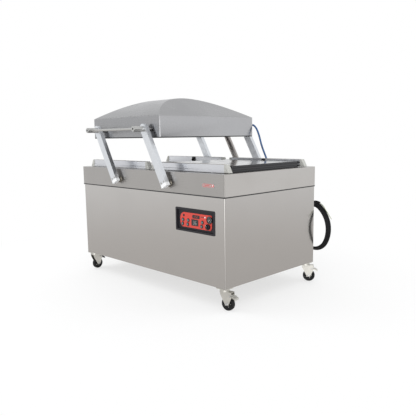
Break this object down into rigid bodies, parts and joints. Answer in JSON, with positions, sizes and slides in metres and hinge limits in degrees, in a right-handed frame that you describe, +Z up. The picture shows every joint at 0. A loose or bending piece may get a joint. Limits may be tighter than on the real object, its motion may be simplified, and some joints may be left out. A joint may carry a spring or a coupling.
{
  "type": "vacuum packing machine",
  "caption": "Floor-standing double-chamber vacuum packing machine: brushed steel cabinet on braked casters, swing-over domed lid on parallel arms, seal bars and a front control panel.",
  "frame": {"origin": "point on the floor under the middle of the whole object's bounding box, with the hung mains cable and the handle posts counted in", "axes": "+X to the right along the table's long side, +Y from the control panel to the rear, +Z up"},
  "size_m": [1.548, 1.1004, 1.254],
  "materials": {
    "frame_steel": "mill finish square tube and sheet",
    "panel_steel": "brushed stainless sheet, vertical grain",
    "table_steel": "brushed stainless sheet",
    "board_black": "smooth black cutting-board plastic",
    "zinc": "bright zinc plating",
    "bush_brass": "turned bronze",
    "panel_black": "fine grained moulded plastic",
    "skin_red": "satin polyester foil",
    "window_dark": "clear window over a dark display",
    "badge_red": "domed resin",
    "cable_rubber": "smooth rubber sheath",
    "pump_blue": "painted casting",
    "motor_grey": "painted aluminium",
    "block_aluminium": "machined",
    "pipe_rubber": "reinforced hose",
    "board_green": "circuit board and wound coils",
    "screw_steel": "machined",
    "needle_white": "white enamel",
    "button_teal": "satin push button",
    "arm_aluminium": "satin anodised",
    "cap_white": "moulded cap",
    "shaft_steel": "ground bar",
    "hose_blue": "extruded air hose",
    "link_steel": "polished tube",
    "lid_steel": "fine brushed stainless sheet",
    "gasket_rubber": "soft silicone rubber",
    "bar_aluminium": "extruded, satin",
    "handle_steel": "turned bar",
    "cap_cream": "moulded end piece",
    "wheel_black": "solid nylon wheel"
  },
  "bodies": {
    "root": {"base_frame": "frame_steel", "bottom_plate": "frame_steel", "front_panel": "panel_steel", "side_panels": "panel_steel", "rear_panel": "panel_steel", "table_top": "table_steel", "filler_boards": "board_black", "seal_cylinders": "zinc", "pivot_bushes": "bush_brass", "control_frame": "panel_black", "control_skin": "skin_red", "display_windows": "window_dark", "gauge_case": "panel_black", "badge_plate": "badge_red", "mains_cable": "cable_rubber", "vacuum_pump": "pump_blue", "pump_motor": "motor_grey", "valve_block": "block_aluminium", "vacuum_pipes": "pipe_rubber", "electrical_parts": "board_green", "caster_plates": "zinc", "panel_screws": "screw_steel"},
    "right_arms": {"right_arms": "arm_aluminium", "right_arm_caps": "cap_white", "right_shaft": "shaft_steel", "air_hose": "hose_blue"},
    "left_arms": {"left_arms": "arm_aluminium", "left_arm_caps": "cap_white", "left_shaft": "shaft_steel"},
    "centre_link": {"centre_link": "link_steel"},
    "lid": {"lid_shell": "lid_steel", "lid_gasket": "gasket_rubber", "counter_bars": "bar_aluminium", "lid_pins": "shaft_steel", "handle_posts": "handle_steel", "handle_rod": "handle_steel"},
    "left_bars": {"left_seal_bars": "bar_aluminium", "left_bar_caps": "cap_cream"},
    "right_bars": {"right_seal_bars": "bar_aluminium", "right_bar_caps": "cap_cream"},
    "gauge_needle": {"gauge_needle": "needle_white"},
    "vacuum_knob": {"vacuum_knob": "panel_black"},
    "button_1": {"button_1": "button_teal"},
    "button_2": {"button_2": "button_teal"},
    "button_3": {"button_3": "button_teal"},
    "button_4": {"button_4": "button_teal"},
    "button_5": {"button_5": "button_teal"},
    "button_6": {"button_6": "button_teal"},
    "front_left_fork": {"front_left_fork": "zinc"},
    "front_left_wheel": {"front_left_wheel": "wheel_black"},
    "front_left_pedal": {"front_left_pedal": "panel_black"},
    "front_right_fork": {"front_right_fork": "zinc"},
    "front_right_wheel": {"front_right_wheel": "wheel_black"},
    "front_right_pedal": {"front_right_pedal": "zinc"},
    "rear_left_fork": {"rear_left_fork": "zinc"},
    "rear_left_wheel": {"rear_left_wheel": "wheel_black"},
    "rear_left_pedal": {"rear_left_pedal": "zinc"},
    "rear_right_fork": {"rear_right_fork": "zinc"},
    "rear_right_wheel": {"rear_right_wheel": "wheel_black"},
    "rear_right_pedal": {"rear_right_pedal": "zinc"}
  },
  "joints": [
    {"name": "lid_swing", "type": "hinge", "parent": "root", "child": "right_arms", "pos_m": [0.211, 0.01225, 0.709], "axis": [0, 1, 0], "range_deg": [-41.2, 99.2]},
    {"name": "left_arm_swing", "type": "hinge", "parent": "root", "child": "left_arms", "pos_m": [-0.309, 0.01225, 0.709], "axis": [0, 1, 0], "range_deg": [-41.2, 99.2]},
    {"name": "centre_link_swing", "type": "hinge", "parent": "root", "child": "centre_link", "pos_m": [-0.001, 0.01225, 0.709], "axis": [0, 1, 0], "range_deg": [-41.2, 99.2]},
    {"name": "lid_level", "type": "hinge", "parent": "right_arms", "child": "lid", "pos_m": [0.02774, 0.01225, 1.03961], "axis": [0, 1, 0], "range_deg": [-99.2, 41.2]},
    {"name": "left_bars_lift", "type": "slide", "parent": "root", "child": "left_bars", "axis": [0, 0, 1], "range_m": [0, 0.007]},
    {"name": "right_bars_lift", "type": "slide", "parent": "root", "child": "right_bars", "axis": [0, 0, 1], "range_m": [0, 0.007]},
    {"name": "gauge_needle_turn", "type": "hinge", "parent": "root", "child": "gauge_needle", "pos_m": [0.549, -0.42175, 0.515], "axis": [0, 1, 0], "range_deg": [0, 270]},
    {"name": "vacuum_knob_turn", "type": "hinge", "parent": "root", "child": "vacuum_knob", "pos_m": [0.536, -0.42175, 0.474], "axis": [0, 1, 0], "range_deg": [-105, 165]},
    {"name": "button_1_press", "type": "slide", "parent": "root", "child": "button_1", "axis": [0, 1, 0], "range_m": [0, 0.0015]},
    {"name": "button_2_press", "type": "slide", "parent": "root", "child": "button_2", "axis": [0, 1, 0], "range_m": [0, 0.0015]},
    {"name": "button_3_press", "type": "slide", "parent": "root", "child": "button_3", "axis": [0, 1, 0], "range_m": [0, 0.0015]},
    {"name": "button_4_press", "type": "slide", "parent": "root", "child": "button_4", "axis": [0, 1, 0], "range_m": [0, 0.0015]},
    {"name": "button_5_press", "type": "slide", "parent": "root", "child": "button_5", "axis": [0, 1, 0], "range_m": [0, 0.0015]},
    {"name": "button_6_press", "type": "slide", "parent": "root", "child": "button_6", "axis": [0, 1, 0], "range_m": [0, 0.0015]},
    {"name": "front_left_swivel", "type": "hinge", "parent": "root", "child": "front_left_fork", "pos_m": [-0.732, -0.38875, 0.112], "axis": [0, 0, 1], "continuous": true},
    {"name": "front_left_roll", "type": "hinge", "parent": "front_left_fork", "child": "front_left_wheel", "pos_m": [-0.73409, -0.36484, 0.04], "axis": [-0.9962, -0.0872, 0], "continuous": true},
    {"name": "front_left_brake", "type": "hinge", "parent": "front_left_fork", "child": "front_left_pedal", "pos_m": [-0.73601, -0.34292, 0.09], "axis": [-0.9962, -0.0872, 0], "range_deg": [0, 12]},
    {"name": "front_right_swivel", "type": "hinge", "parent": "root", "child": "front_right_fork", "pos_m": [0.634, -0.38875, 0.112], "axis": [0, 0, 1], "continuous": true},
    {"name": "front_right_roll", "type": "hinge", "parent": "front_right_fork", "child": "front_right_wheel", "pos_m": [0.65763, -0.38458, 0.04], "axis": [-0.1736, 0.9848, 0], "continuous": true},
    {"name": "front_right_brake", "type": "hinge", "parent": "front_right_fork", "child": "front_right_pedal", "pos_m": [0.6793, -0.38076, 0.09], "axis": [-0.1736, 0.9848, 0], "range_deg": [0, 12]},
    {"name": "rear_left_swivel", "type": "hinge", "parent": "root", "child": "rear_left_fork", "pos_m": [-0.732, 0.41325, 0.112], "axis": [0, 0, 1], "continuous": true},
    {"name": "rear_left_roll", "type": "hinge", "parent": "rear_left_fork", "child": "rear_left_wheel", "pos_m": [-0.72, 0.43404, 0.04], "axis": [-0.866, 0.5, 0], "continuous": true},
    {"name": "rear_left_brake", "type": "hinge", "parent": "rear_left_fork", "child": "rear_left_pedal", "pos_m": [-0.709, 0.45309, 0.09], "axis": [-0.866, 0.5, 0], "range_deg": [0, 12]},
    {"name": "rear_right_swivel", "type": "hinge", "parent": "root", "child": "rear_right_fork", "pos_m": [0.634, 0.41325, 0.112], "axis": [0, 0, 1], "continuous": true},
    {"name": "rear_right_roll", "type": "hinge", "parent": "rear_right_fork", "child": "rear_right_wheel", "pos_m": [0.65478, 0.42525, 0.04], "axis": [-0.5, 0.866, 0], "continuous": true},
    {"name": "rear_right_brake", "type": "hinge", "parent": "rear_right_fork", "child": "rear_right_pedal", "pos_m": [0.67384, 0.43625, 0.09], "axis": [-0.5, 0.866, 0], "range_deg": [0, 12]}
  ],
  "couplings": [
    {"joint": "left_arm_swing", "follows": "lid_swing", "ratio": 1},
    {"joint": "centre_link_swing", "follows": "lid_swing", "ratio": 1},
    {"joint": "lid_level", "follows": "lid_swing", "ratio": -1}
  ]
}
